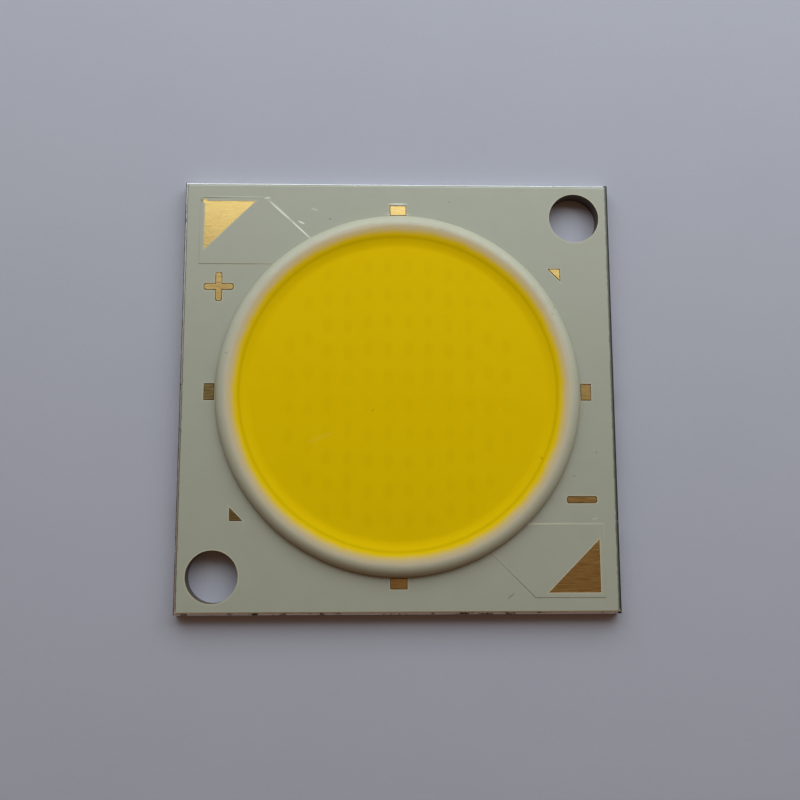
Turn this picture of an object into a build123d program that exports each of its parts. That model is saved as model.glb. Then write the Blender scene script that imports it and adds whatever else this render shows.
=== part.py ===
from build123d import *

import os
from math import atan2, cos, radians, sin, sqrt, tan

# Chip-on-board LED. A square metal-core board carries a gold-plated circuit foil, a white solder mask and a
# round silicone dam. Ten strings of ten chips are glued to the bare metal inside the dam, joined by bond wires,
# and potted in yellow phosphor silicone. All sizes are in millimetres, but for one angle in degrees. The origin
# is at the centre of the board's back, with +Z out of the light-emitting side and the anode pad at -X, +Y.

# Metal core
board_side = 28.0
plate_thickness = 1.0
edge_roll = 0.15
hole_diameter = 3.3
hole_edge_distance = 2.35

# Laminate
insulation_thickness = 0.10
window_inside_dam = 0.65

# Circuit foil
foil_thickness = 0.05
land_under_dam = 0.95
land_gap = 1.2
pad_edge_distance = 1.32
pad_leg = 3.3
pad_relief_radius = 0.14
pad_foil_margin = 0.22
tab_extra_width = 1.0
tab_extra_length = 1.1

# Marks in the foil
mark_below_pad = 5.78
mark_length = 1.85
mark_line = 0.36
mark_end_bevel = 0.1
fiducial_length = 1.0
fiducial_width = 0.6
fiducial_gap = 0.05
index_edge_x = 3.4
index_edge_y = 5.85
index_leg = 0.7

# Solder mask
mask_on_laminate = 0.045
mask_on_foil = 0.025
mask_edge_setback = 0.05
mask_mark_clearance = 0.05
mask_step_run = 0.08

# Silicone dam
dam_edge_distance = 2.25
dam_width = 1.5
dam_height = 0.66
shoulder_radius = 0.55
shoulder_bend = 70
shoulder_facets = 3

# Phosphor fill
fill_height = 0.40
contact_height = 0.62
contact_setback = 0.95
meniscus_run = 0.65

# LED chips
chip_width = 0.43
chip_length = 0.86
chip_height = 0.15
string_chip_count = 10
column_pitch = 1.3
inner_columns = 4
inner_column_margin = 1.45
middle_columns = 4
middle_column_margin = 2.0
outer_near_chips = 6
outer_near_pitch = 1.2
outer_near_margin = 3.93
outer_far_pitch = 1.2
outer_far_margin = 6.7

# Bond wires
wire_size = 0.03
bond_inset = 0.15
bond_dam_distance = 0.30
loop_height = 0.25
loop_peak_share = 0.3


# Levels and radii that follow from the sizes above
laminate_top = plate_thickness + insulation_thickness
foil_top = laminate_top + foil_thickness
mask_top = foil_top + mask_on_foil
dam_crown = mask_top + dam_height
fill_level = mask_top + fill_height
contact_level = mask_top + contact_height
chip_top = plate_thickness + chip_height
dam_outer_radius = board_side / 2 - dam_edge_distance
dam_inner_radius = dam_outer_radius - dam_width
contact_radius = dam_outer_radius - contact_setback
meniscus_radius = contact_radius - meniscus_run
window_radius = dam_inner_radius - window_inside_dam
land_outer_radius = dam_inner_radius + land_under_dam
bond_radius = dam_inner_radius - bond_dam_distance
fiducial_distance = dam_outer_radius + fiducial_gap + fiducial_width / 2
hole_radius = hole_diameter / 2
hole_offset = board_side / 2 - hole_edge_distance
pad_corner = board_side / 2 - pad_edge_distance
tab_corner = pad_corner + pad_foil_margin
mark_row = pad_corner - mark_below_pad


def column_places(x, end_margin, count):
    """Chip centres of one column, from the anode side down, kept a margin inside the window's radius."""
    reach = window_radius - end_margin
    pitch = 2 * reach / (count - 1)
    return [Vector(x, reach - i * pitch) for i in range(count)]


def string_places():
    """Chip centres of every string: straight columns, and on either side a zigzag between two short columns."""
    straight = inner_columns + middle_columns
    strings = []
    for i in range(straight):
        steps_from_middle = abs(i - (straight - 1) / 2)
        margin = inner_column_margin if steps_from_middle < inner_columns / 2 else middle_column_margin
        strings.append(column_places((i - (straight - 1) / 2) * column_pitch, margin, string_chip_count))
    near_x = (straight - 1) / 2 * column_pitch + outer_near_pitch
    far_x = near_x + outer_far_pitch
    for side in (-1, 1):
        near = column_places(side * near_x, outer_near_margin, outer_near_chips)
        far = column_places(side * far_x, outer_far_margin, string_chip_count - outer_near_chips)
        strings.append(sorted(near + far, key=lambda place: -place.Y))
    return sorted(strings, key=lambda string: string[0].X)


def slab(outline, bottom, top):
    """Solid with the given outline, from one level to another."""
    return Pos(0, 0, bottom) * extrude(outline, amount=top - bottom)


def turned(shape):
    """The same shape on the opposite side of the board's centre."""
    return Rot(0, 0, 180) * shape


def board_outline(edge_setback):
    """Square outline with both screw holes, drawn in from the plate's edges."""
    side = board_side - 2 * edge_setback
    return Rectangle(side, side) - [Pos(x, x) * Circle(hole_radius) for x in (-hole_offset, hole_offset)]


def base_plate():
    """Punched aluminium plate, rounded by the punch along its upper edges."""
    plate = slab(board_outline(0), 0, plate_thickness)
    return fillet(plate.faces().sort_by(Axis.Z)[-1].outer_wire().edges(), edge_roll)


def insulation_layer():
    """Laminate on the plate, with a window that bares the metal for the chips."""
    return slab(board_outline(edge_roll) - Circle(window_radius), plate_thickness, laminate_top)


def tab_outline():
    """Part of the anode conductor that runs from the ring under the dam out to the corner pad."""
    tab_width = pad_leg + tab_extra_width
    tab_low = tab_corner - pad_leg - tab_extra_length
    tab = Polyline(
        (-tab_corner, tab_corner),
        (tab_width - tab_corner, tab_corner),
        (tab_width - tab_low, tab_low),
        (-tab_corner, tab_low),
        close=True,
    )
    return make_face(tab) - Circle(window_radius)


def foil_outline():
    """Anode conductor: half of the ring that the wires land on, with its tab."""
    ring = Circle(land_outer_radius) - Circle(window_radius)
    upper_half = Pos(0, land_gap / 2 + board_side / 2) * Rectangle(board_side, board_side)
    return (ring & upper_half) + tab_outline()


def corner_triangle(corner_x, corner_y, leg):
    """Right triangle whose legs run from its corner towards the board's centre lines."""
    step_x = leg if corner_x < 0 else -leg
    step_y = leg if corner_y < 0 else -leg
    return make_face(
        Polyline(
            (corner_x, corner_y),
            (corner_x + step_x, corner_y),
            (corner_x, corner_y + step_y),
            close=True,
        )
    )


def mark_bar(length, width):
    """Bar along X with bevelled ends."""
    bar = Rectangle(length, width)
    return chamfer(bar.vertices(), mark_end_bevel)


def polarity_outlines(clearance):
    """Plus and minus marks, or the openings round them."""
    length = mark_length + 2 * clearance
    width = mark_line + 2 * clearance
    plus = mark_bar(length, width) + Rot(0, 0, 90) * mark_bar(length, width)
    return [Pos(-hole_offset, mark_row) * plus, Pos(hole_offset, -mark_row) * mark_bar(length, width)]


def fiducial_outlines(clearance):
    """Bars at the four sides of the dam and two small index triangles, or the openings round them."""
    bar = Rectangle(fiducial_length + 2 * clearance, fiducial_width + 2 * clearance)
    bars = [Rot(0, 0, angle) * Pos(0, fiducial_distance) * bar for angle in (0, 90, 180, 270)]
    index_x = board_side / 2 - index_edge_x + clearance
    index_y = board_side / 2 - index_edge_y + clearance
    index_mark = corner_triangle(index_x, index_y, index_leg + clearance * (2 + sqrt(2)))
    return bars + [index_mark, turned(index_mark)]


def foils(outlines):
    """Foil pieces of the given outlines, lying on the laminate."""
    return Compound([slab(outline, laminate_top, foil_top).solid() for outline in outlines])


def solder_mask(anode, cathode):
    """White mask that steps up over both tabs, with an opening for each pad and mark and one inside the dam."""
    outline = board_outline(edge_roll + mask_edge_setback)
    mask = slab(outline, laminate_top, laminate_top + mask_on_laminate)
    raised = offset(tab_outline(), mask_step_run, kind=Kind.INTERSECTION)
    for step in (raised, turned(raised)):
        mask += slab(step, laminate_top, mask_top)
    pad = corner_triangle(-pad_corner, pad_corner, pad_leg)
    relief = Pos(-pad_corner, pad_corner) * RegularPolygon(pad_relief_radius, 8)
    openings = [Circle(land_outer_radius), pad + relief, turned(pad)]
    openings += polarity_outlines(mask_mark_clearance) + fiducial_outlines(mask_mark_clearance)
    return mask.cut(anode, cathode, *[slab(opening, laminate_top, mask_top) for opening in openings])


def dam_ring(neighbours):
    """Dispensed silicone bead: a slope inside, a crown that rises gently, and a rounded shoulder outside."""
    bends = [radians(shoulder_bend * i / shoulder_facets) for i in range(shoulder_facets + 1)]
    shoulder = [Vector(sin(bend), cos(bend) - 1) * shoulder_radius for bend in bends]
    foot_run = (dam_crown + shoulder[-1].Y - laminate_top) / tan(bends[-1])
    crown = Vector(dam_outer_radius - foot_run - shoulder[-1].X, dam_crown)
    section = Polyline(
        (dam_outer_radius, laminate_top),
        (dam_inner_radius, laminate_top),
        (contact_radius, contact_level),
        *[crown + step for step in shoulder],
        close=True,
    )
    return revolve(Plane.XZ * make_face(section), Axis.Z).cut(*neighbours)


def phosphor_fill(neighbours):
    """Potting that fills the dam, climbs its inner slope and closes round the chips and wires."""
    section = Polyline(
        (0, plate_thickness),
        (0, fill_level),
        (meniscus_radius, fill_level),
        (contact_radius, contact_level),
        (dam_inner_radius, laminate_top),
        (dam_inner_radius, plate_thickness),
        close=True,
    )
    return revolve(Plane.XZ * make_face(section), Axis.Z).cut(*neighbours)


def chip_string(places):
    """Chips of one string, standing on the bare metal."""
    chip = slab(Rectangle(chip_width, chip_length), plate_thickness, chip_top).solid()
    return Compound([Pos(place) * chip for place in places])


def bond_wire(start, end):
    """Wire loop from one bond to another: steep off the first, then a long slope down to the second."""
    span = Vector(end.X - start.X, end.Y - start.Y)
    rise = Vector(loop_peak_share * span.length, loop_height)
    fall = Vector((1 - loop_peak_share) * span.length, start.Z + loop_height - end.Z)
    rise_angle = atan2(rise.Y, rise.X)
    fall_angle = atan2(fall.Y, fall.X)
    peak = Vector(rise.X, start.Z + rise.Y)
    half_bend = (rise_angle + fall_angle) / 2
    lean = (rise_angle - fall_angle) / 2
    inner_peak = peak + Vector(sin(lean), -cos(lean)) * (wire_size / cos(half_bend))
    outline = Polyline(
        (0, start.Z),
        (peak.X, peak.Y),
        (span.length, end.Z),
        (span.length - wire_size / sin(fall_angle), end.Z),
        (inner_peak.X, inner_peak.Y),
        (wire_size / sin(rise_angle), start.Z),
        close=True,
    )
    side = Plane(origin=(start.X, start.Y, 0), x_dir=span, z_dir=span.cross(Vector(0, 0, 1)))
    return extrude(side * make_face(outline), amount=wire_size / 2, both=True).solid()


def bond_wires(places):
    """Wires of one string, from the anode foil through every chip to the cathode foil."""
    inset = Vector(0, chip_length / 2 - bond_inset)
    lift = Vector(0, 0, chip_top)
    first_land = Vector(places[0].X, sqrt(bond_radius**2 - places[0].X ** 2), foil_top)
    last_land = Vector(places[-1].X, -sqrt(bond_radius**2 - places[-1].X ** 2), foil_top)
    wires = [bond_wire(places[0] + inset + lift, first_land)]
    for place, following in zip(places, places[1:]):
        wires.append(bond_wire(place - inset + lift, following + inset + lift))
    wires.append(bond_wire(places[-1] - inset + lift, last_land))
    return Compound(wires)


def led_board():
    """Every piece of the board by its name."""
    anode = slab(foil_outline(), laminate_top, foil_top)
    cathode = turned(anode)
    pieces = {
        "base_plate": base_plate(),
        "insulation_layer": insulation_layer(),
        "anode_foil": anode,
        "cathode_foil": cathode,
        "polarity_foils": foils(polarity_outlines(0)),
        "fiducial_foils": foils(fiducial_outlines(0)),
        "solder_mask": solder_mask(anode, cathode),
    }
    foil_names = ("anode_foil", "cathode_foil", "polarity_foils", "fiducial_foils", "solder_mask")
    pieces["dam_ring"] = dam_ring([pieces[name] for name in foil_names])
    buried = [pieces[name] for name in ("insulation_layer", "anode_foil", "cathode_foil")]
    for number, places in enumerate(string_places(), start=1):
        pieces[f"chip_string_{number:02d}"] = chip_string(places)
        pieces[f"bond_wires_{number:02d}"] = bond_wires(places)
        for group in ("chip_string", "bond_wires"):
            buried += pieces[f"{group}_{number:02d}"].solids()
    pieces["phosphor_fill"] = phosphor_fill(buried)
    return pieces


os.makedirs("parts", exist_ok=True)
for name, piece in led_board().items():
    export_step(piece, f"parts/{name}.step")
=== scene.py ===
"""Chip-on-board LED with its finishes, a plain stage and a camera, laid out as an add-on."""

from functools import cache, reduce
from math import cos, exp, pi, radians, sin

import bmesh
import bpy
from bpy.props import FloatProperty, FloatVectorProperty, IntProperty, PointerProperty
from mathutils import Euler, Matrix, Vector, noise


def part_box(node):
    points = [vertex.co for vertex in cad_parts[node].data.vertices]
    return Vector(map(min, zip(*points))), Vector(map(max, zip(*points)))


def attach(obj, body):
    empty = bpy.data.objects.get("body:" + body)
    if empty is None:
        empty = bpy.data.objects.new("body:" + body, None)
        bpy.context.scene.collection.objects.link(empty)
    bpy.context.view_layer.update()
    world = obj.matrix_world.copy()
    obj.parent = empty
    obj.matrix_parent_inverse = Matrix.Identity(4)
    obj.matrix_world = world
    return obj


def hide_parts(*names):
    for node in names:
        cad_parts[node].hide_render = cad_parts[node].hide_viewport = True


bl_info = {
    "name": "Chip-on-board LED",
    "version": (1, 0, 0),
    "blender": (4, 5, 0),
    "location": "3D View > Sidebar > LED board",
    "description": "Dresses the chip-on-board LED in its finishes and sets up a plain stage",
    "category": "Object",
}

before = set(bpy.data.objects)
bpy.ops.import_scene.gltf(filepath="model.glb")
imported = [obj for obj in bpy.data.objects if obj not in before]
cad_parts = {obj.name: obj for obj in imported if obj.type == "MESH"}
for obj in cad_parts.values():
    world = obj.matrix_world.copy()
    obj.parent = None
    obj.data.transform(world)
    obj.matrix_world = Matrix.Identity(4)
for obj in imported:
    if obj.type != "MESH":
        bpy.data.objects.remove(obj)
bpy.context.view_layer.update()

MM = 0.001
core_low, core_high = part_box("base_plate")
mask_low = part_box("solder_mask")[0]
laminate_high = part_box("insulation_layer")[1]
dam_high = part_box("dam_ring")[1]
fill_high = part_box("phosphor_fill")[1]
foil_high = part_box("anode_foil")[1]


# Settings


class LedFinishes(bpy.types.PropertyGroup):
    """Colours and sheen of the board's materials."""

    mask_colour: FloatVectorProperty(
        name="Solder mask", description="White mask with a grey-green cast", subtype="COLOR", size=4,
        min=0, max=1, default=(0.272, 0.283, 0.220, 1),
    )
    dam_colour: FloatVectorProperty(
        name="Dam", description="White silicone of the dam", subtype="COLOR", size=4,
        min=0, max=1, default=(0.352, 0.352, 0.262, 1),
    )
    phosphor_colour: FloatVectorProperty(
        name="Phosphor", description="Yellow potting over the chips", subtype="COLOR", size=4,
        min=0, max=1, default=(0.570, 0.394, 0.0002, 1),
    )
    gold_colour: FloatVectorProperty(
        name="Gold", description="Gold plating of the foil and the wires", subtype="COLOR", size=4,
        min=0, max=1, default=(0.50, 0.355, 0.128, 1),
    )
    metal_colour: FloatVectorProperty(
        name="Core metal", description="Aluminium of the core", subtype="COLOR", size=4,
        min=0, max=1, default=(0.70, 0.71, 0.70, 1),
    )
    # Painted shade: the laminate is made dark brown where it shows in the narrow gaps.
    laminate_gap_shade: FloatVectorProperty(
        name="Laminate", description="Resin of the laminate where it shows between foil and mask",
        subtype="COLOR", size=4, min=0, max=1, default=(0.10, 0.075, 0.035, 1),
    )


class LedShapes(bpy.types.PropertyGroup):
    """Small shapes that the looks add to the solid model."""

    round_steps: IntProperty(
        name="Steps round the dam", description="Divisions round the dam and the potting", min=64, max=512,
        default=288,
    )
    bead_waviness: FloatProperty(
        name="Bead waviness", description="How far the dispenser strays from a true ring", subtype="DISTANCE",
        min=0, max=0.0001, default=0.022 * MM,
    )
    dam_foot: FloatProperty(
        name="Inner foot of the dam", description="Radius of the dam's foot on the inside",
        subtype="DISTANCE", min=0, max=0.02, default=10.25 * MM,
    )
    climb_start: FloatProperty(
        name="Start of the climb", description="Radius at which the potting starts to climb the dam",
        subtype="DISTANCE", min=0, max=0.02, default=9.40 * MM,
    )
    level_lift: FloatProperty(
        name="Lift of the flat", description="How far the potting's flat stands above the solid model's",
        subtype="DISTANCE", min=0, max=0.0003, default=0.13 * MM,
    )
    crown_radius: FloatProperty(
        name="Crown radius", description="Radius of the dam's highest line", subtype="DISTANCE", min=0,
        max=0.02, default=10.98 * MM,
    )
    contact_radius: FloatProperty(
        name="Edge of the potting", description="Radius at which the potting thins out on the dam",
        subtype="DISTANCE", min=0, max=0.02, default=10.90 * MM,
    )
    mask_edge: FloatProperty(
        name="Mask edge", description="Rounding along the edges of the cured mask", subtype="DISTANCE", min=0,
        max=0.0001, default=0.022 * MM,
    )
    # Over this margin the mask pales towards its edges, partly as painted highlight.
    mask_margin: FloatProperty(
        name="Mask margin", description="Width over which the mask pales towards its edges",
        subtype="DISTANCE", min=0, max=0.0002, default=0.09 * MM,
    )


class LedStage(bpy.types.PropertyGroup):
    """Floor, lights and camera."""

    paper_colour: FloatVectorProperty(
        name="Floor", description="Pale paper under the board", subtype="COLOR", size=4, min=0, max=1,
        default=(0.325, 0.335, 0.385, 1),
    )
    window_colour: FloatVectorProperty(
        name="Window light", description="Colour of the large soft light behind the board", subtype="COLOR",
        size=3, min=0, max=1, default=(0.86, 0.93, 0.96),
    )
    window_power: FloatProperty(
        name="Window power", description="Power of the large soft light", subtype="POWER", min=0, max=10,
        default=0.225,
    )
    window_distance: FloatProperty(
        name="Window distance", description="From the board to the soft light", subtype="DISTANCE", min=0.05,
        max=2, default=0.12,
    )
    lens: FloatProperty(
        name="Lens", description="Focal length of the camera in millimetres", min=10, max=200, default=41.116
    )
    camera_place: FloatVectorProperty(
        name="Camera place", description="Where the camera stands", subtype="TRANSLATION", size=3,
        default=(-1.537 * MM, -8.691 * MM, 59.126 * MM),
    )
    camera_turn: FloatVectorProperty(
        name="Camera turn", description="How the camera is turned", subtype="EULER", size=3,
        default=(radians(8.0156), radians(-1.5978), radians(-0.1423)),
    )


# Node helpers


def add_node(tree, kind, inputs=(), output=0, **settings):
    """Adds a node, sets it up, fills or joins its inputs, and returns one of its outputs."""
    made = tree.nodes.new(kind)
    for name, value in settings.items():
        setattr(made, name, value)
    for place, value in dict(inputs).items():
        if isinstance(value, bpy.types.NodeSocket):
            tree.links.new(value, made.inputs[place])
        else:
            made.inputs[place].default_value = value
    return made.outputs[output]


def maths(tree, operation, *values):
    """A Math node over one, two or three values."""
    return add_node(tree, "ShaderNodeMath", dict(enumerate(values)), operation=operation)


def ramp_between(tree, value, low, high, start=0.0, end=1.0):
    """Value eased from one range into another and held at both ends."""
    values = {0: value, 1: low, 2: high, 3: start, 4: end}
    return add_node(tree, "ShaderNodeMapRange", values, interpolation_type="SMOOTHSTEP")


def spread_noise(tree, value, start, end):
    """Noise, which stays mostly between 0.3 and 0.7, spread over a range."""
    return ramp_between(tree, value, 0.3, 0.7, start, end)


def mix_colours(tree, factor, first, second, blend="MIX"):
    """Mixes two colours."""
    values = {0: factor, 6: first, 7: second}
    return add_node(tree, "ShaderNodeMix", values, output=2, data_type="RGBA", blend_type=blend)


def sum_of_squares(tree, first, second):
    """The squares of two values, added up."""
    return maths(tree, "MULTIPLY_ADD", first, first, maths(tree, "MULTIPLY", second, second))


def axes(tree, vector):
    """The X, Y and Z of a vector."""
    split = tree.nodes.new("ShaderNodeSeparateXYZ")
    tree.links.new(vector, split.inputs[0])
    return split.outputs


def largest(tree, values):
    """The largest of several values."""
    return reduce(lambda most, value: maths(tree, "MAXIMUM", most, value), values)


def faded(tree, mask, strength):
    """A mask made weaker."""
    return maths(tree, "MULTIPLY", mask, strength)


def painted(tree, colour, mask, strength, paint):
    """A colour with another over it where the mask is."""
    return mix_colours(tree, faded(tree, mask, strength), colour, paint)


def place_in_mm(tree):
    """Place on the part, in millimetres from the centre of the board's back."""
    coordinates = add_node(tree, "ShaderNodeTexCoord", output="Object")
    return add_node(tree, "ShaderNodeVectorMath", {0: coordinates, "Scale": 1 / MM}, operation="SCALE")


def noise_at(tree, place, scale, detail=3.0, roughness=0.5):
    """Cloudy noise, with its scale in features per millimetre."""
    return add_node(
        tree,
        "ShaderNodeTexNoise",
        {"Vector": place, "Scale": scale, "Detail": detail, "Roughness": roughness},
        output="Fac",
    )


def stretched(tree, place, along_x, along_y, along_z):
    """The same place with each direction scaled, so that noise turns into streaks."""
    return add_node(
        tree, "ShaderNodeVectorMath", {0: place, 1: (along_x, along_y, along_z)}, operation="MULTIPLY"
    )


def new_group(name, inputs, outputs):
    """An empty shader node group with named sockets, and its input and output nodes."""
    group = bpy.data.node_groups.new(name, "ShaderNodeTree")
    for label, kind, default in inputs:
        socket = group.interface.new_socket(label, in_out="INPUT", socket_type=kind)
        if default is not None:
            socket.default_value = default
    for label, kind in outputs:
        group.interface.new_socket(label, in_out="OUTPUT", socket_type=kind)
    entry = group.nodes.new("NodeGroupInput")
    leave = group.nodes.new("NodeGroupOutput")
    return group, entry.outputs, leave.inputs


def use_group(tree, name, inputs, output=0):
    """Places a shared group in a material and returns one of its outputs."""
    made = tree.nodes.new("ShaderNodeGroup")
    made.node_tree = bpy.data.node_groups[name]
    for place, value in inputs.items():
        if isinstance(value, bpy.types.NodeSocket):
            tree.links.new(value, made.inputs[place])
        else:
            made.inputs[place].default_value = value
    return made.outputs[output]


# Shared effects. Their lengths are in millimetres.


VECTOR, FLOAT = "NodeSocketVector", "NodeSocketFloat"
CHIP_SHADE_WIDTH, CHIP_SHADE_LENGTH, CHIP_SHADE_END = 0.84, 1.40, 0.8


def make_cloudiness():
    """Two sizes of soft mottling, about one, to multiply a colour by."""
    group, given, result = new_group(
        "cloudiness",
        [("Place", VECTOR, None), ("Size", FLOAT, 1.0), ("Amount", FLOAT, 0.05)],
        [("Shade", FLOAT)],
    )
    per_mm = maths(group, "DIVIDE", 1.0, given["Size"])
    broad = noise_at(group, given["Place"], per_mm, 2.0)
    fine = noise_at(group, given["Place"], maths(group, "MULTIPLY", per_mm, 6.0), 3.0, 0.6)
    both = maths(group, "ADD", maths(group, "MULTIPLY", broad, 0.6), maths(group, "MULTIPLY", fine, 0.4))
    spread = maths(group, "MULTIPLY", maths(group, "SUBTRACT", both, 0.5), 2.0)
    shade = maths(group, "MULTIPLY_ADD", spread, given["Amount"], 1.0)
    group.links.new(shade, result["Shade"])


def make_dust():
    """Scattered fine specks, as a mask."""
    group, given, result = new_group(
        "dust",
        [("Place", VECTOR, None), ("Spacing", FLOAT, 0.6), ("Speck", FLOAT, 0.04), ("Share", FLOAT, 0.2)],
        [("Mask", FLOAT)],
    )
    per_mm = maths(group, "DIVIDE", 1.0, given["Spacing"])
    cell = group.nodes.new("ShaderNodeTexVoronoi")
    group.links.new(given["Place"], cell.inputs["Vector"])
    group.links.new(per_mm, cell.inputs["Scale"])
    reach = maths(group, "MULTIPLY", cell.outputs["Distance"], given["Spacing"])
    near = ramp_between(group, reach, given["Speck"], 0.0)
    pick = add_node(group, "ShaderNodeSeparateColor", {0: cell.outputs["Color"]}, output=0)
    chosen = maths(group, "LESS_THAN", pick, given["Share"])
    group.links.new(maths(group, "MULTIPLY", near, chosen), result["Mask"])


def make_small_mark():
    """One soft-edged stroke or spot at a given place seen from above, as a mask."""
    group, given, result = new_group(
        "small_mark",
        [
            ("Place", VECTOR, None), ("Across", FLOAT, 0.0), ("Up", FLOAT, 0.0), ("Turn", FLOAT, 0.0),
            ("Length", FLOAT, 0.2), ("Width", FLOAT, 0.1),
        ],
        [("Mask", FLOAT)],
    )
    place = axes(group, given["Place"])
    across = maths(group, "SUBTRACT", place["X"], given["Across"])
    up = maths(group, "SUBTRACT", place["Y"], given["Up"])
    cosine, sine = maths(group, "COSINE", given["Turn"]), maths(group, "SINE", given["Turn"])
    run = maths(group, "MULTIPLY_ADD", across, cosine, maths(group, "MULTIPLY", up, sine))
    back = maths(group, "MULTIPLY", across, sine)
    side = maths(group, "SUBTRACT", maths(group, "MULTIPLY", up, cosine), back)
    run = maths(group, "DIVIDE", maths(group, "MULTIPLY", run, 2.0), given["Length"])
    side = maths(group, "DIVIDE", maths(group, "MULTIPLY", side, 2.0), given["Width"])
    squares = sum_of_squares(group, run, side)
    group.links.new(ramp_between(group, squares, 1.0, 0.2), result["Mask"])


def make_round_band():
    """Soft band at one distance from the board's centre line, as a mask, with the distance itself."""
    group, given, result = new_group(
        "round_band",
        [("Place", VECTOR, None), ("Radius", FLOAT, 10.0), ("Width", FLOAT, 0.2)],
        [("Mask", FLOAT), ("Distance", FLOAT)],
    )
    flat = add_node(group, "ShaderNodeVectorMath", {0: given["Place"], 1: (1, 1, 0)}, operation="MULTIPLY")
    distance = add_node(group, "ShaderNodeVectorMath", {0: flat}, output="Value", operation="LENGTH")
    off = maths(group, "ABSOLUTE", maths(group, "SUBTRACT", distance, given["Radius"]))
    half = maths(group, "MULTIPLY", given["Width"], 0.5)
    group.links.new(ramp_between(group, off, half, 0.0), result["Mask"])
    group.links.new(distance, result["Distance"])


def make_drawn_grain():
    """Fine parallel lines left by rolling, drawing or brushing, along X, as a value about one half."""
    group, given, result = new_group(
        "drawn_grain",
        [("Place", VECTOR, None), ("Line Width", FLOAT, 0.05), ("Line Length", FLOAT, 3.0)],
        [("Grain", FLOAT)],
    )
    place = axes(group, given["Place"])
    along = maths(group, "DIVIDE", place["X"], given["Line Length"])
    across = maths(group, "DIVIDE", place["Y"], given["Line Width"])
    deep = maths(group, "DIVIDE", place["Z"], given["Line Width"])
    streaks = add_node(group, "ShaderNodeCombineXYZ", {0: along, 1: across, 2: deep})
    group.links.new(noise_at(group, streaks, 1.0, 4.0, 0.6), result["Grain"])


def make_chip_column():
    """Soft ovals where one straight pair of chip columns lies under the potting, as a mask."""
    group, given, result = new_group(
        "chip_column",
        [("Place", VECTOR, None), ("Column", FLOAT, 0.65), ("Pitch", FLOAT, 1.8), ("Reach", FLOAT, 8.0)],
        [("Mask", FLOAT)],
    )
    place = axes(group, given["Place"])
    across = maths(group, "SUBTRACT", maths(group, "ABSOLUTE", place["X"]), given["Column"])
    step = maths(group, "FLOORED_MODULO", place["Y"], given["Pitch"])
    along = maths(group, "SUBTRACT", step, maths(group, "MULTIPLY", given["Pitch"], 0.5))
    across = maths(group, "DIVIDE", across, CHIP_SHADE_WIDTH / 2)
    along = maths(group, "DIVIDE", along, CHIP_SHADE_LENGTH / 2)
    oval = ramp_between(group, sum_of_squares(group, across, along), 1.0, 0.0)
    limit = maths(group, "ADD", given["Reach"], CHIP_SHADE_END)
    inside = maths(group, "LESS_THAN", maths(group, "ABSOLUTE", place["Y"]), limit)
    group.links.new(maths(group, "MULTIPLY", oval, inside), result["Mask"])


def make_shared_effects():
    """Builds every shared node group once."""
    make_cloudiness()
    make_dust()
    make_small_mark()
    make_round_band()
    make_drawn_grain()
    make_chip_column()


# Materials. Places and lengths are in millimetres from the centre of the board.


HOLE_MIDDLE = 11.65
MASK_RIM = 13.8
DAM_OUTER_FOOT = 11.80
POTTING_CORNER = 10.14
THIN_FILM, BARE_DAM = (10.28, 10.88), (10.84, 11.20)

MASK_DARK = (0.055, 0.055, 0.042, 1)
MASK_SCUFF_AND_HIGHLIGHT = (0.50, 0.50, 0.42, 1)
MASK_THIN_EDGE_AND_HIGHLIGHT = (0.50, 0.44, 0.29, 1)
MASK_HIGHLIGHT = (0.62, 0.66, 0.58, 1)
LAMINATE_EDGE_SHADE = (0.060, 0.062, 0.048, 1)
LAMINATE_FRONT = (0.46, 0.38, 0.27, 1)
GOLD_LINES = (0.42, 0.27, 0.09, 1)
GOLD_DIM_REFLECTION = (0.29, 0.235, 0.10, 1)
EDGE_DARK = (0.050, 0.052, 0.042, 1)
HOLE_WALL_SHADE = (0.085, 0.050, 0.033, 1)
POTTING_FILM_AND_GLOW = (0.43, 0.365, 0.235, 1)
DAM_FOOT_SHADE = (0.16, 0.11, 0.06, 1)
DAM_SPECK_AND_SEAM_SHADE = (0.14, 0.10, 0.05, 1)
POTTING_GRIME = (0.16, 0.10, 0.002, 1)
POTTING_SCUFF = (0.62, 0.50, 0.10, 1)
POTTING_SHEEN = (1.0, 0.72, 0.02, 1)
SAPPHIRE = (0.30, 0.36, 0.44, 1)
ELECTRODE = (0.55, 0.50, 0.30, 1)


def new_material(name):
    """Empty material, its tree, its main shader and the place on the part in millimetres."""
    made = bpy.data.materials.new(name)
    made.use_nodes = True
    tree = made.node_tree
    shader = tree.nodes["Principled BSDF"]
    return made, tree, shader, place_in_mm(tree)


def bump(tree, shader, height, strength, distance):
    """Joins a height in millimetres to the shader's normal."""
    values = {"Height": height, "Strength": strength, "Distance": distance * MM}
    tree.links.new(add_node(tree, "ShaderNodeBump", values, output="Normal"), shader.inputs["Normal"])


def mark(tree, place, across, up, turn, length, width):
    """One small mark, turned by so many degrees."""
    where = {"Place": place, "Across": across, "Up": up, "Turn": radians(turn)}
    return use_group(tree, "small_mark", where | {"Length": length, "Width": width})


def marks(tree, place, strokes):
    """Several small marks in one mask. Each stroke is across, up, turn in degrees, length and width."""
    return largest(tree, [mark(tree, place, *stroke) for stroke in strokes])


def cloudiness(tree, place, size, amount):
    """Soft mottling about one, to multiply a colour by."""
    return use_group(tree, "cloudiness", {"Place": place, "Size": size, "Amount": amount})


def dust(tree, place, spacing, speck, share):
    """Scattered specks."""
    return use_group(tree, "dust", {"Place": place, "Spacing": spacing, "Speck": speck, "Share": share})


def round_band(tree, place, radius, width, output="Mask"):
    """Soft band round the board's centre."""
    return use_group(tree, "round_band", {"Place": place, "Radius": radius, "Width": width}, output)


def drawn_grain(tree, place, width, length):
    """Fine parallel lines along X."""
    return use_group(tree, "drawn_grain", {"Place": place, "Line Width": width, "Line Length": length})


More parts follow.
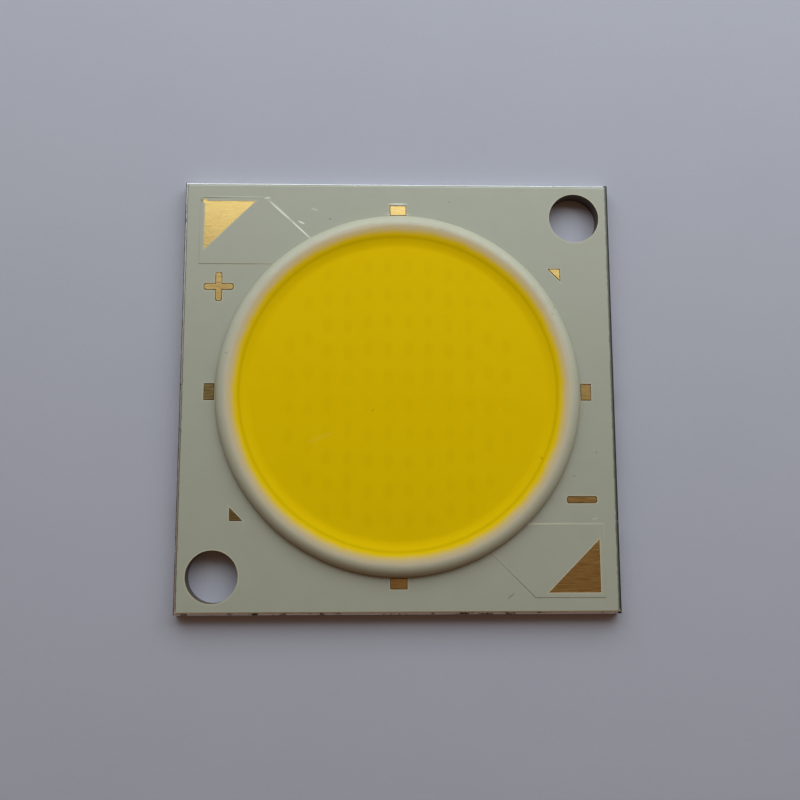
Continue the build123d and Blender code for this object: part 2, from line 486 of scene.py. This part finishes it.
def scaled_colour(tree, colour, shade):
    """Colour multiplied by a value that varies over the surface."""
    shades = add_node(tree, "ShaderNodeCombineColor", {0: shade, 1: shade, 2: shade})
    return mix_colours(tree, 1.0, colour, shades, "MULTIPLY")


def vary_roughness(tree, shader, noise_value, smoothest, roughest):
    """Roughness that follows a noise between two values."""
    tree.links.new(spread_noise(tree, noise_value, smoothest, roughest), shader.inputs["Roughness"])


def mask_material(finishes):
    """White solder mask with a grey-green cast, faint orange peel, specks, scuffs and painted highlights."""
    made, tree, shader, place = new_material("solder_mask_white")
    colour = scaled_colour(tree, tuple(finishes.mask_colour), cloudiness(tree, place, 1.4, 0.035))
    specks = marks(
        tree,
        place,
        [
            (-4.46, 11.5, 20, 0.22, 0.12), (11.2, -5.4, 0, 0.14, 0.12), (12.65, -3.9, 70, 0.2, 0.09),
            (7.0, -12.9, 40, 0.7, 0.09), (-11.5, -1.6, 10, 0.12, 0.1), (3.4, 12.7, 0, 0.12, 0.1),
        ],
    )
    grime = faded(tree, dust(tree, place, 0.9, 0.05, 0.07), 0.30)
    dark_marks = largest(tree, [grime, faded(tree, specks, 0.55), faded(tree, ragged_side_lines(tree, place), 0.85)])
    colour = mix_colours(tree, dark_marks, colour, MASK_DARK)
    # Pale scuffs, and a painted highlight along the top edge of the upper left foil.
    scuffs_and_highlight = marks(
        tree,
        place,
        [(12.45, -8.1, 15, 0.5, 0.12), (-5.5, 12.15, -20, 0.6, 0.2), (-10.7, 12.95, 0, 4.2, 0.09)],
    )
    colour = painted(tree, colour, scuffs_and_highlight, 0.35, MASK_SCUFF_AND_HIGHLIGHT)
    # Paler where the mask thins at its rounded edges: partly the thin ink, partly painted highlight.
    thin_edge_and_highlight = add_node(tree, "ShaderNodeAttribute", output="Fac", attribute_name="thin_edge_and_highlight")
    inside = maths(tree, "SUBTRACT", 1.0, outer_rim(tree, place, 13.5, 13.6))
    colour = painted(tree, colour, maths(tree, "MULTIPLY", thin_edge_and_highlight, inside), 0.55, MASK_THIN_EDGE_AND_HIGHLIGHT)
    # Painted highlights: pale lines along the edges of the upper left foil, and above and below the top
    # fiducial.
    painted_highlights = marks(
        tree,
        place,
        [
            (-7.75, 12.03, -43, 2.5, 0.15), (-6.45, 10.82, -43, 2.2, 0.13), (-6.35, 11.25, -25, 0.55, 0.14),
            (-8.6, 12.9, 10, 0.5, 0.10), (0.0, 12.56, 0, 1.5, 0.11), (0.0, 11.86, 0, 1.9, 0.10),
        ],
    )
    colour = painted(tree, colour, painted_highlights, 0.8, MASK_HIGHLIGHT)
    tree.links.new(colour, shader.inputs["Base Color"])
    thin_back = ramp_between(tree, axes(tree, place)["Y"], MASK_RIM - 0.10, MASK_RIM)
    sheen = spread_noise(tree, noise_at(tree, place, 1.2, 3.0), 0.40, 0.52)
    tree.links.new(maths(tree, "SUBTRACT", sheen, faded(tree, thin_back, 0.22)), shader.inputs["Roughness"])
    peel, fine = noise_at(tree, place, 3.2, 2.0, 0.4), noise_at(tree, place, 14.0, 2.0, 0.5)
    height = maths(tree, "ADD", peel, maths(tree, "MULTIPLY", fine, 0.25))
    height = maths(tree, "SUBTRACT", height, maths(tree, "MULTIPLY", specks, 1.5))
    height = maths(tree, "SUBTRACT", height, maths(tree, "MULTIPLY", thin_back, 6.0))
    bump(tree, shader, height, 0.35, 0.008)
    return made


def ragged_side_lines(tree, place):
    """Ragged dark lines along the left and right edges of the mask."""
    ragged = noise_at(tree, stretched(tree, place, 1, 2.2, 1), 1.0, 4.0, 0.7)
    stray_by = maths(tree, "MULTIPLY", maths(tree, "SUBTRACT", ragged, 0.5), 0.16)
    across = maths(tree, "ADD", axes(tree, place)["X"], stray_by)
    right = ramp_between(tree, across, MASK_RIM - 0.10, MASK_RIM - 0.02)
    left = ramp_between(tree, across, 0.03 - MASK_RIM, -0.02 - MASK_RIM)
    return maths(tree, "MAXIMUM", right, left)


def outer_rim(tree, place, start, end):
    """Rises from 0 to 1 towards the four edges of the board."""
    parts = axes(tree, place)
    sides = [maths(tree, "ABSOLUTE", parts[axis]) for axis in ("X", "Y")]
    return ramp_between(tree, largest(tree, sides), start, end)


def laminate_material(finishes):
    """Resin and glass laminate: painted shade in the narrow gaps and on the side and back cut edges; cream at
    the front edge.
    """
    made, tree, shader, place = new_material("laminate_resin")
    inner = scaled_colour(tree, tuple(finishes.laminate_gap_shade), cloudiness(tree, place, 0.5, 0.18))
    # Painted shade on the side and back cut edges; the front edge keeps the laminate's cream.
    front = ramp_between(tree, axes(tree, place)["Y"], 0.2 - MASK_RIM, -MASK_RIM)
    cut = mix_colours(tree, front, LAMINATE_EDGE_SHADE, LAMINATE_FRONT)
    rim = outer_rim(tree, place, MASK_RIM - 0.2, MASK_RIM)
    tree.links.new(mix_colours(tree, rim, inner, cut), shader.inputs["Base Color"])
    weave = noise_at(tree, stretched(tree, place, 8, 8, 2), 1.0, 2.0)
    vary_roughness(tree, shader, weave, 0.45, 0.65)
    bump(tree, shader, weave, 0.3, 0.01)
    return made


def gold_material(finishes):
    """Gold plating over brushed copper foil, with fine streaks and a painted duller reflection on the left
    foils.
    """
    made, tree, shader, place = new_material("gold_plating")
    grain = drawn_grain(tree, place, 0.055, 1.1)
    colour = scaled_colour(tree, tuple(finishes.gold_colour), cloudiness(tree, place, 0.8, 0.10))
    colour = mix_colours(tree, ramp_between(tree, grain, 0.35, 0.7, 0.0, 0.12), colour, GOLD_LINES)
    # Painted reflection: the left fiducial and the lower left triangle get a duller gold, for a dimmer
    # reflection of the room.
    dim_reflection = marks(tree, place, [(-12.1, 0, 0, 2.6, 2.6), (-10.3, -8.2, 0, 2.6, 2.6)])
    tree.links.new(mix_colours(tree, dim_reflection, colour, GOLD_DIM_REFLECTION), shader.inputs["Base Color"])
    shader.inputs["Metallic"].default_value = 1.0
    vary_roughness(tree, shader, grain, 0.24, 0.38)
    bump(tree, shader, grain, 0.30, 0.006)
    return made


def metal_material(finishes):
    """Sheet aluminium: rolled faces, sheared edges with dark patches, and painted shade on the walls of the
    holes.
    """
    made, tree, shader, place = new_material("core_aluminium")
    edge = outer_rim(tree, place, 13.8, 13.9)
    rolled = drawn_grain(tree, place, 0.05, 6.0)
    colour = scaled_colour(tree, tuple(finishes.metal_colour), spread_noise(tree, rolled, 0.90, 1.06))
    dark_patches = maths(tree, "MULTIPLY", dark_edge_patches(tree, place), edge)
    # Painted shade: the walls of the screw holes are made dark brown.
    shaded_bores = hole_walls(tree, place)
    colour = mix_colours(tree, dark_patches, colour, EDGE_DARK)
    colour = mix_colours(tree, shaded_bores, colour, HOLE_WALL_SHADE)
    tree.links.new(colour, shader.inputs["Base Color"])
    shader.inputs["Metallic"].default_value = 1.0
    dull = faded(tree, maths(tree, "MAXIMUM", dark_patches, shaded_bores), 0.25)
    roughness = maths(tree, "ADD", spread_noise(tree, rolled, 0.30, 0.42), dull)
    tree.links.new(roughness, shader.inputs["Roughness"])
    sheared = noise_at(tree, stretched(tree, place, 9, 9, 1.5), 1.0, 3.0, 0.6)
    lines = add_node(tree, "ShaderNodeMix", {0: edge, 2: rolled, 3: sheared}, output=0)
    bump(tree, shader, lines, 0.5, 0.02)
    return made


def hole_walls(tree, place):
    """The upright walls of the two screw holes, without the flat faces round them."""
    near = marks(tree, place, [(side, side, 0, 5.2, 5.2) for side in (HOLE_MIDDLE, -HOLE_MIDDLE)])
    normal = add_node(tree, "ShaderNodeNewGeometry", output="True Normal")
    flat = maths(tree, "ABSOLUTE", axes(tree, normal)["Z"])
    return maths(tree, "MULTIPLY", near, ramp_between(tree, flat, 0.3, 0.8, 1.0, 0.0))


def dark_edge_patches(tree, place):
    """Dark patches along the edges: heavy on the right, a line on the left, patches in front."""
    parts = axes(tree, place)
    patches = noise_at(tree, stretched(tree, place, 1.3, 1.3, 0.6), 1.0, 4.0, 0.65)
    right = ramp_between(tree, parts["X"], 13.7, 13.8, 0.0, 0.42)
    left = ramp_between(tree, parts["X"], -13.91, -13.97, 0.0, 0.34)
    front = ramp_between(tree, parts["Y"], -13.7, -13.8, 0.0, 0.09)
    upper = ramp_between(tree, parts["Z"], 0.70, 0.90, 0.4, 1.0)
    more = maths(tree, "MULTIPLY", largest(tree, [right, left, front]), upper)
    return ramp_between(tree, maths(tree, "ADD", patches, more), 0.62, 0.74)


def rim_colour(tree, place, finishes, shade):
    """Yellow potting that thins out over the dam, through a pinkish cream that is partly painted glow, to
    bare white silicone.
    """
    distance = round_band(tree, place, 10.5, 1.0, "Distance")
    wander = maths(tree, "MULTIPLY", maths(tree, "SUBTRACT", noise_at(tree, place, 0.9, 3.0), 0.5), 0.22)
    reach = maths(tree, "ADD", distance, wander)
    thinned = ramp_between(tree, reach, *THIN_FILM)
    film_and_glow = mix_colours(tree, thinned, tuple(finishes.phosphor_colour), POTTING_FILM_AND_GLOW)
    # Past the potting's edge the cream runs on towards the crown as painted yellow glow bounced from the
    # potting.
    bare = mix_colours(tree, ramp_between(tree, reach, *BARE_DAM), film_and_glow, tuple(finishes.dam_colour))
    return scaled_colour(tree, bare, shade)


def dam_material(finishes):
    """White dam silicone, warmed where the potting runs up it and by painted glow; painted shade at its foot
    and seam.
    """
    made, tree, shader, place = new_material("dam_white_silicone")
    colour = rim_colour(tree, place, finishes, cloudiness(tree, place, 1.8, 0.05))
    # Painted shade round the outer foot of the dam.
    colour = painted(tree, colour, round_band(tree, place, DAM_OUTER_FOOT, 0.5), 0.30, DAM_FOOT_SHADE)
    # Dark specks, and two marks at the seam that are a painted shade tick on the outer slope.
    specks = marks(
        tree,
        place,
        [
            (-10.95, 2.4, 0, 0.3, 0.14), (10.1, 5.5, 60, 0.5, 0.10), (9.95, 5.0, 30, 0.3, 0.08),
            (2.8, 10.6, -20, 0.5, 0.07),
        ],
    )
    colour = painted(tree, colour, specks, 0.35, DAM_SPECK_AND_SEAM_SHADE)
    tree.links.new(colour, shader.inputs["Base Color"])
    vary_roughness(tree, shader, noise_at(tree, place, 1.5, 3.0), 0.42, 0.56)
    bump(tree, shader, noise_at(tree, place, 2.5, 2.0), 0.3, 0.012)
    return made


def phosphor_material(finishes):
    """Yellow potting, cloudy over the chips, with a painted shade line where it starts to climb the dam."""
    made, tree, shader, place = new_material("phosphor_potting")
    columns = [
        use_group(tree, "chip_column", {"Place": place, "Column": column, "Pitch": pitch, "Reach": reach})
        for column, pitch, reach in (
            (0.65, 1.811, 8.15), (1.95, 1.811, 8.15), (3.25, 1.688, 7.6), (4.55, 1.688, 7.6),
            (5.75, 2.268, 5.67), (6.95, 1.933, 2.9),
        )
    ]
    shade = cloudiness(tree, place, 1.1, 0.035)
    shade = maths(tree, "SUBTRACT", shade, faded(tree, largest(tree, columns), 0.035))
    # Painted shade: a darker line where the potting starts to climb the dam.
    corner = round_band(tree, place, POTTING_CORNER, 0.34)
    shade = maths(tree, "SUBTRACT", shade, faded(tree, corner, 0.15))
    colour = rim_colour(tree, place, finishes, shade)
    specks = marks(
        tree, place, [(-1.64, -1.24, 35, 0.34, 0.07), (9.05, -4.3, -60, 0.3, 0.12), (3.1, 4.9, 0, 0.1, 0.08)]
    )
    grime = faded(tree, dust(tree, place, 1.3, 0.06, 0.06), 0.18)
    colour = mix_colours(tree, maths(tree, "MAXIMUM", grime, faded(tree, specks, 0.5)), colour, POTTING_GRIME)
    colour = painted(tree, colour, mark(tree, place, -5.0, -3.0, 20, 2.2, 0.5), 0.05, POTTING_SCUFF)
    tree.links.new(colour, shader.inputs["Base Color"])
    shader.inputs["Specular IOR Level"].default_value = 0.25
    shader.inputs["Specular Tint"].default_value = POTTING_SHEEN
    vary_roughness(tree, shader, noise_at(tree, place, 0.8, 3.0), 0.46, 0.60)
    bump(tree, shader, noise_at(tree, place, 1.1, 3.0), 0.3, 0.02)
    return made


def chip_material():
    """Polished sapphire chip with its electrode bars."""
    made, tree, shader, place = new_material("chip_sapphire")
    bars = drawn_grain(tree, place, 0.06, 0.4)
    colour = mix_colours(tree, ramp_between(tree, bars, 0.45, 0.6), SAPPHIRE, ELECTRODE)
    tree.links.new(colour, shader.inputs["Base Color"])
    vary_roughness(tree, shader, bars, 0.12, 0.25)
    return made


def wire_material(finishes):
    """Drawn gold wire with fine die lines."""
    made, tree, shader, place = new_material("gold_wire")
    lines = noise_at(tree, stretched(tree, place, 60, 4, 60), 1.0, 2.0)
    colour = scaled_colour(tree, tuple(finishes.gold_colour), spread_noise(tree, lines, 0.9, 1.1))
    tree.links.new(colour, shader.inputs["Base Color"])
    shader.inputs["Metallic"].default_value = 1.0
    vary_roughness(tree, shader, lines, 0.18, 0.30)
    return made


def paper_material(stage):
    """Matt pale paper with faint fibres."""
    made, tree, shader, place = new_material("pale_paper")
    fibres = noise_at(tree, place, 5.0, 4.0, 0.7)
    speckle = spread_noise(tree, fibres, 0.985, 1.015)
    shade = maths(tree, "MULTIPLY", cloudiness(tree, place, 9.0, 0.03), speckle)
    tree.links.new(scaled_colour(tree, tuple(stage.paper_colour), shade), shader.inputs["Base Color"])
    vary_roughness(tree, shader, fibres, 0.82, 0.92)
    shader.inputs["Specular IOR Level"].default_value = 0.2
    bump(tree, shader, fibres, 0.25, 0.01)
    return made


# Shapes


CROWN_DROP = 0.006 * MM
TOP_CLEARANCE = 0.004 * MM
OUTER_FOOT_SETBACK = 0.005 * MM
INNER_SIDE_LEAN = 0.25 * MM
TUCK_WIDTH, TUCK_DEPTH = 0.12 * MM, 0.006 * MM
SEAM_ANGLE, SEAM_SPREAD, SEAM_HEIGHT = radians(29), radians(1.6), 0.02 * MM
CROWN_STEPS, OUTER_STEPS, CLIMB_STEPS, FLAT_STEPS = 8, 20, 20, 12


def new_object(name, data):
    """Puts a new object in the scene."""
    made = bpy.data.objects.new(name, data)
    bpy.context.scene.collection.objects.link(made)
    return made


def finished_mesh(name, body):
    """Turns the worked mesh into one that an object can show."""
    mesh = bpy.data.meshes.new(name)
    body.to_mesh(mesh)
    body.free()
    return mesh


def finish_node(name, material):
    """Gives a piece of the solid model its finish."""
    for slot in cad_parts[name].material_slots:
        slot.material = material


def show_piece(name, mesh, material):
    """Puts a new mesh in the scene, riding on the board, with its finish."""
    mesh.materials.clear()
    mesh.materials.append(material)
    piece = new_object(name, mesh)
    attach(piece, "root")
    return piece


def coated_copy(node, width, margin, name):
    """Copy of a coat from the solid model, with its edges rounded and marked where it thins at openings."""
    body = bmesh.new()
    body.from_mesh(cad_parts[node].data)
    bmesh.ops.remove_doubles(body, verts=body.verts, dist=0.0005 * MM)
    bmesh.ops.dissolve_limit(
        body, angle_limit=radians(1), verts=body.verts, edges=body.edges, use_dissolve_boundaries=False
    )
    for face in body.faces:
        face.smooth = False
    tops = [face for face in body.faces if face.normal.z > 0.99]
    bmesh.ops.inset_region(body, faces=tops, thickness=margin, use_even_offset=True)
    round_off(body, [edge for edge in sharp_edges(body) if is_step(edge)], width)
    # Marks the rounded edges, which the mask's finish makes paler, partly as painted highlight.
    thin = body.verts.layers.float.new("thin_edge_and_highlight")
    for face in round_off(body, sharp_edges(body), width):
        for vertex in face.verts:
            vertex[thin] = 1.0
    settle(body.verts, lambda vertex: tuple(vertex.co))
    settle(body.faces, lambda face: tuple(face.calc_center_median()))
    return finished_mesh(name, body)


def settle(elements, place):
    """Sorts corners or faces by where they are, because a bevel leaves them in a new order on each run."""
    ranks = {element: rank for rank, element in enumerate(sorted(elements, key=place))}
    elements.sort(key=ranks.get)
    elements.index_update()


def sharp_edges(body):
    """Edges where two faces meet at a clear corner."""
    clear = radians(35)
    return [edge for edge in body.edges if len(edge.link_faces) == 2 and edge.calc_face_angle(0) > clear]


def is_step(edge):
    """True for the mask's step over the foil's border, which reaches neither the foil nor the laminate."""
    lowest = min(vertex.co.z for face in edge.link_faces for vertex in face.verts)
    return min(abs(lowest - foil_high.z), abs(lowest - laminate_high.z)) > 0.002 * MM


def round_off(body, edges, width):
    """Rounds these edges and returns the new, smoothly shaded faces."""
    rounded = bmesh.ops.bevel(
        body, geom=edges, offset=width, offset_type="OFFSET", segments=3, profile=0.5, affect="EDGES",
        clamp_overlap=True,
    )
    for face in rounded["faces"]:
        face.smooth = True
    return rounded["faces"]


def turned_mesh(name, section, steps, move, closed_section):
    """Ring or disc turned from a section of (radius, height) points, each moved a little by its angle."""
    body = bmesh.new()
    rings = []
    for radius, height in section:
        if radius == 0:
            rings.append([body.verts.new((0, 0, height))] * steps)
            continue
        ring = []
        for i in range(steps):
            angle = 2 * pi * i / steps
            place_radius, place_height = move(radius, height, angle)
            ring.append(body.verts.new((place_radius * cos(angle), place_radius * sin(angle), place_height)))
        rings.append(ring)
    pairs = list(zip(rings, rings[1:]))
    if closed_section:
        pairs.append((rings[-1], rings[0]))
    for inner, outer in pairs:
        for i in range(steps):
            j = (i + 1) % steps
            corners = []
            for corner in (inner[i], outer[i], outer[j], inner[j]):
                if corner not in corners:
                    corners.append(corner)
            if len(corners) > 2:
                body.faces.new(corners)
    bmesh.ops.recalc_face_normals(body, faces=body.faces)
    smooth_but_for_corners(body, 40)
    return finished_mesh(name, body)


def smooth_but_for_corners(body, degrees):
    """Smooth shading, with a hard line along every edge that turns by more than so many degrees."""
    for face in body.faces:
        face.smooth = True
    for edge in body.edges:
        edge.smooth = len(edge.link_faces) != 2 or edge.calc_face_angle(0) < radians(degrees)


def stray(angle, turns, seed):
    """Smooth wandering between -1 and 1 that closes after one turn."""
    return noise.noise(Vector((turns * cos(angle), turns * sin(angle), seed))) * 1.6


def seam(angle):
    """Small lump where the bead's end runs over its start."""
    return exp(-(((angle - SEAM_ANGLE) / SEAM_SPREAD) ** 2))


def bead_movement(shapes):
    """How the dam and the edge of the potting stray from a true ring."""
    low, high = mask_low.z, dam_high.z - TOP_CLEARANCE

    def move(radius, height, angle):
        share = climbed(radius, shapes)
        out = shapes.bead_waviness * share * (stray(angle, 1.1, 3) + 0.5 * stray(angle, 4.0, 7))
        radius = min(radius + out - 0.6 * shapes.bead_waviness * share, dam_high.x)
        lift = share * (0.5 * shapes.bead_waviness * stray(angle, 2.0, 11) - SEAM_HEIGHT * seam(angle))
        return radius, max(low, min(high, height + lift)) if height > low else height

    return move


def climbed(radius, shapes):
    """Share of the way from the potting's flat out to the dam's crown."""
    return max(0.0, min(1.0, (radius - shapes.climb_start) / (shapes.crown_radius - shapes.climb_start)))


def climb(radius, shapes):
    """Height of the surface from the potting's flat up to the dam's crown, gentle at both ends."""
    level, share = potting_level() + shapes.level_lift, climbed(radius, shapes)
    return level + (crown_height() - level) * share**2 * (3 - 2 * share)


def crown_height():
    """Height of the dam's highest line, a little under the solid model's."""
    return dam_high.z - CROWN_DROP


@cache
def potting_level():
    """Height of the solid potting's flat: the level that most of the node's top points share."""
    heights = sorted(vertex.co.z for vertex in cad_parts["phosphor_fill"].data.vertices)
    crowded = [z for z in heights if laminate_high.z + 0.2 * MM < z < fill_high.z - 0.05 * MM]
    return crowded[len(crowded) // 2]


def bead_section(shapes):
    """Section of the dam from the foot inside, over the crown, to the foot outside."""
    crown, foot, base = shapes.crown_radius, dam_high.x - OUTER_FOOT_SETBACK, laminate_high.z
    points = [(shapes.dam_foot, base), (shapes.dam_foot + INNER_SIDE_LEAN, potting_level())]
    inner = shapes.contact_radius - TUCK_WIDTH
    for i in range(CROWN_STEPS):
        radius = inner + (crown - inner) * i / CROWN_STEPS
        dip = TUCK_DEPTH * max(0.0, (shapes.contact_radius - radius) / TUCK_WIDTH)
        points.append((radius, climb(radius, shapes) - dip))
    for i in range(OUTER_STEPS + 1):
        bend = 0.5 * pi * i / OUTER_STEPS
        points.append((crown + (foot - crown) * sin(bend), base + (crown_height() - base) * cos(bend)))
    return points


def potting_section(shapes):
    """Section of the potting: the board's window below, and the surface out to the dam above."""
    window, outer, inner = window_radius(), shapes.contact_radius, shapes.climb_start
    points = [(0, core_high.z), (window, core_high.z), (window, laminate_high.z)]
    points.append((shapes.dam_foot, laminate_high.z))
    radii = [outer + (inner - outer) * i / CLIMB_STEPS for i in range(CLIMB_STEPS + 1)]
    radii += [inner * (1 - i / FLAT_STEPS) for i in range(1, FLAT_STEPS + 1)]
    return points + [(radius, climb(radius, shapes)) for radius in radii]


def window_radius():
    """Radius of the laminate's window, which bares the metal under the chips."""
    return min(vertex.co.xy.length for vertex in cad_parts["insulation_layer"].data.vertices)


# Stage


PAPER_HALF_SIDE, PAPER_GAP = 0.15, 0.012 * MM
WINDOW_SIZE = (0.22, 0.092)
WINDOW_TOWARDS = (0.10, 0.715, 0.69)
ROOM_DIM = (0.200, 0.108, 0.062, 1)
ROOM_PALE = (0.68, 0.72, 0.74, 1)


def add_floor(stage):
    """Large sheet of paper under the board."""
    body = bmesh.new()
    bmesh.ops.create_grid(body, x_segments=24, y_segments=24, size=PAPER_HALF_SIDE)
    for vertex in body.verts:
        vertex.co.z = core_low.z - PAPER_GAP
    mesh = finished_mesh("paper", body)
    mesh.materials.append(paper_material(stage))
    new_object("paper", mesh)


def add_window_light(stage):
    """Large soft light behind and above the board."""
    light = bpy.data.lights.new("window", "AREA")
    light.shape = "RECTANGLE"
    light.size, light.size_y = WINDOW_SIZE
    light.energy = stage.window_power
    light.color = tuple(stage.window_colour)
    lamp = new_object("window", light)
    towards = Vector(WINDOW_TOWARDS).normalized()
    lamp.location = towards * stage.window_distance
    lamp.rotation_euler = towards.to_track_quat("Z", "Y").to_euler()


def add_surroundings(stage):
    """Room around the stage: pale behind the board near the horizon, and dim and warm elsewhere."""
    world = bpy.data.worlds.new("room")
    world.use_nodes = True
    tree = world.node_tree
    direction = axes(tree, add_node(tree, "ShaderNodeTexCoord", output="Generated"))
    colour = mix_colours(tree, ramp_between(tree, direction["Y"], 0.26, 0.34), ROOM_DIM, ROOM_PALE)
    seen = add_node(tree, "ShaderNodeLightPath", output="Is Camera Ray")
    colour = mix_colours(tree, seen, colour, tuple(stage.paper_colour))
    tree.links.new(colour, tree.nodes["Background"].inputs["Color"])
    bpy.context.scene.world = world


def add_camera(stage):
    """Camera above the board, a little in front of its middle."""
    lens = bpy.data.cameras.new("camera")
    lens.lens = stage.lens
    lens.clip_start = 0.001
    camera = new_object("camera", lens)
    camera.location = tuple(stage.camera_place)
    camera.rotation_euler = Euler(tuple(stage.camera_turn))
    bpy.context.scene.camera = camera


# Operators


class LED_OT_metal_core(bpy.types.Operator):
    """Finish the aluminium core"""

    bl_idname = "led_board.metal_core"
    bl_label = "Metal core"

    def execute(self, context):
        finish_node("base_plate", metal_material(context.scene.led_finishes))
        return {"FINISHED"}


class LED_OT_laminate(bpy.types.Operator):
    """Finish the laminate between the core and the foil"""

    bl_idname = "led_board.laminate"
    bl_label = "Laminate"

    def execute(self, context):
        finish_node("insulation_layer", laminate_material(context.scene.led_finishes))
        return {"FINISHED"}


class LED_OT_foils(bpy.types.Operator):
    """Finish the gold-plated foils: pads, marks and the ring under the dam"""

    bl_idname = "led_board.foils"
    bl_label = "Foils"

    def execute(self, context):
        gold = gold_material(context.scene.led_finishes)
        for name in ("anode_foil", "cathode_foil", "polarity_foils", "fiducial_foils"):
            finish_node(name, gold)
        return {"FINISHED"}


class LED_OT_solder_mask(bpy.types.Operator):
    """Build the cured solder mask with its soft edges"""

    bl_idname = "led_board.solder_mask"
    bl_label = "Solder mask"

    def execute(self, context):
        finishes, shapes = context.scene.led_finishes, context.scene.led_shapes
        mesh = coated_copy("solder_mask", shapes.mask_edge, shapes.mask_margin, "solder_mask_coat")
        piece = show_piece("solder_mask_coat", mesh, mask_material(finishes))
        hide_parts("solder_mask")
        return {"FINISHED"}


class LED_OT_dam(bpy.types.Operator):
    """Build the dispensed silicone dam"""

    bl_idname = "led_board.dam"
    bl_label = "Dam"

    def execute(self, context):
        finishes, shapes = context.scene.led_finishes, context.scene.led_shapes
        section, move = bead_section(shapes), bead_movement(shapes)
        mesh = turned_mesh("dam_bead", section, shapes.round_steps, move, True)
        piece = show_piece("dam_bead", mesh, dam_material(finishes))
        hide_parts("dam_ring")
        return {"FINISHED"}


class LED_OT_potting(bpy.types.Operator):
    """Build the yellow potting that climbs the dam"""

    bl_idname = "led_board.potting"
    bl_label = "Phosphor potting"

    def execute(self, context):
        finishes, shapes = context.scene.led_finishes, context.scene.led_shapes
        section, move = potting_section(shapes), bead_movement(shapes)
        mesh = turned_mesh("potting", section, shapes.round_steps, move, False)
        piece = show_piece("potting", mesh, phosphor_material(finishes))
        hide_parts("phosphor_fill")
        return {"FINISHED"}


class LED_OT_chips_and_wires(bpy.types.Operator):
    """Finish the chips and the bond wires inside the potting"""

    bl_idname = "led_board.chips_and_wires"
    bl_label = "Chips and wires"

    def execute(self, context):
        chips, wires = chip_material(), wire_material(context.scene.led_finishes)
        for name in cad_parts:
            if name.startswith("chip_string"):
                finish_node(name, chips)
            if name.startswith("bond_wires"):
                finish_node(name, wires)
        return {"FINISHED"}


class LED_OT_stage(bpy.types.Operator):
    """Set up the paper floor, the soft light and the camera"""

    bl_idname = "led_board.stage"
    bl_label = "Stage"

    def execute(self, context):
        stage = context.scene.led_stage
        add_floor(stage)
        add_window_light(stage)
        add_surroundings(stage)
        add_camera(stage)
        context.scene.view_settings.view_transform = "Standard"
        return {"FINISHED"}


class LED_PT_board(bpy.types.Panel):
    """Sizes, colours and steps of the LED board"""

    bl_label = "LED board"
    bl_idname = "LED_PT_board"
    bl_space_type = "VIEW_3D"
    bl_region_type = "UI"
    bl_category = "LED board"

    def draw(self, context):
        for group in (context.scene.led_finishes, context.scene.led_shapes, context.scene.led_stage):
            box = self.layout.box()
            for name in group.bl_rna.properties.keys():
                if name not in ("rna_type", "name"):
                    box.prop(group, name)
        for operator in OPERATORS:
            self.layout.operator(operator.bl_idname)


SETTINGS = (LedFinishes, LedShapes, LedStage)
OPERATORS = (
    LED_OT_metal_core,
    LED_OT_laminate,
    LED_OT_foils,
    LED_OT_solder_mask,
    LED_OT_dam,
    LED_OT_potting,
    LED_OT_chips_and_wires,
    LED_OT_stage,
)


def register():
    """Registers the settings, the operators and the panel."""
    for piece in SETTINGS + OPERATORS + (LED_PT_board,):
        bpy.utils.register_class(piece)
    bpy.types.Scene.led_finishes = PointerProperty(type=LedFinishes)
    bpy.types.Scene.led_shapes = PointerProperty(type=LedShapes)
    bpy.types.Scene.led_stage = PointerProperty(type=LedStage)


def unregister():
    """Takes everything back in the opposite order."""
    del bpy.types.Scene.led_stage
    del bpy.types.Scene.led_shapes
    del bpy.types.Scene.led_finishes
    for piece in reversed(SETTINGS + OPERATORS + (LED_PT_board,)):
        bpy.utils.unregister_class(piece)


def main():
    """Builds the whole scene, step by step."""
    register()
    make_shared_effects()
    bpy.ops.led_board.metal_core()
    bpy.ops.led_board.laminate()
    bpy.ops.led_board.foils()
    bpy.ops.led_board.solder_mask()
    bpy.ops.led_board.dam()
    bpy.ops.led_board.potting()
    bpy.ops.led_board.chips_and_wires()
    bpy.ops.led_board.stage()


if __name__ == "__main__":
    main()
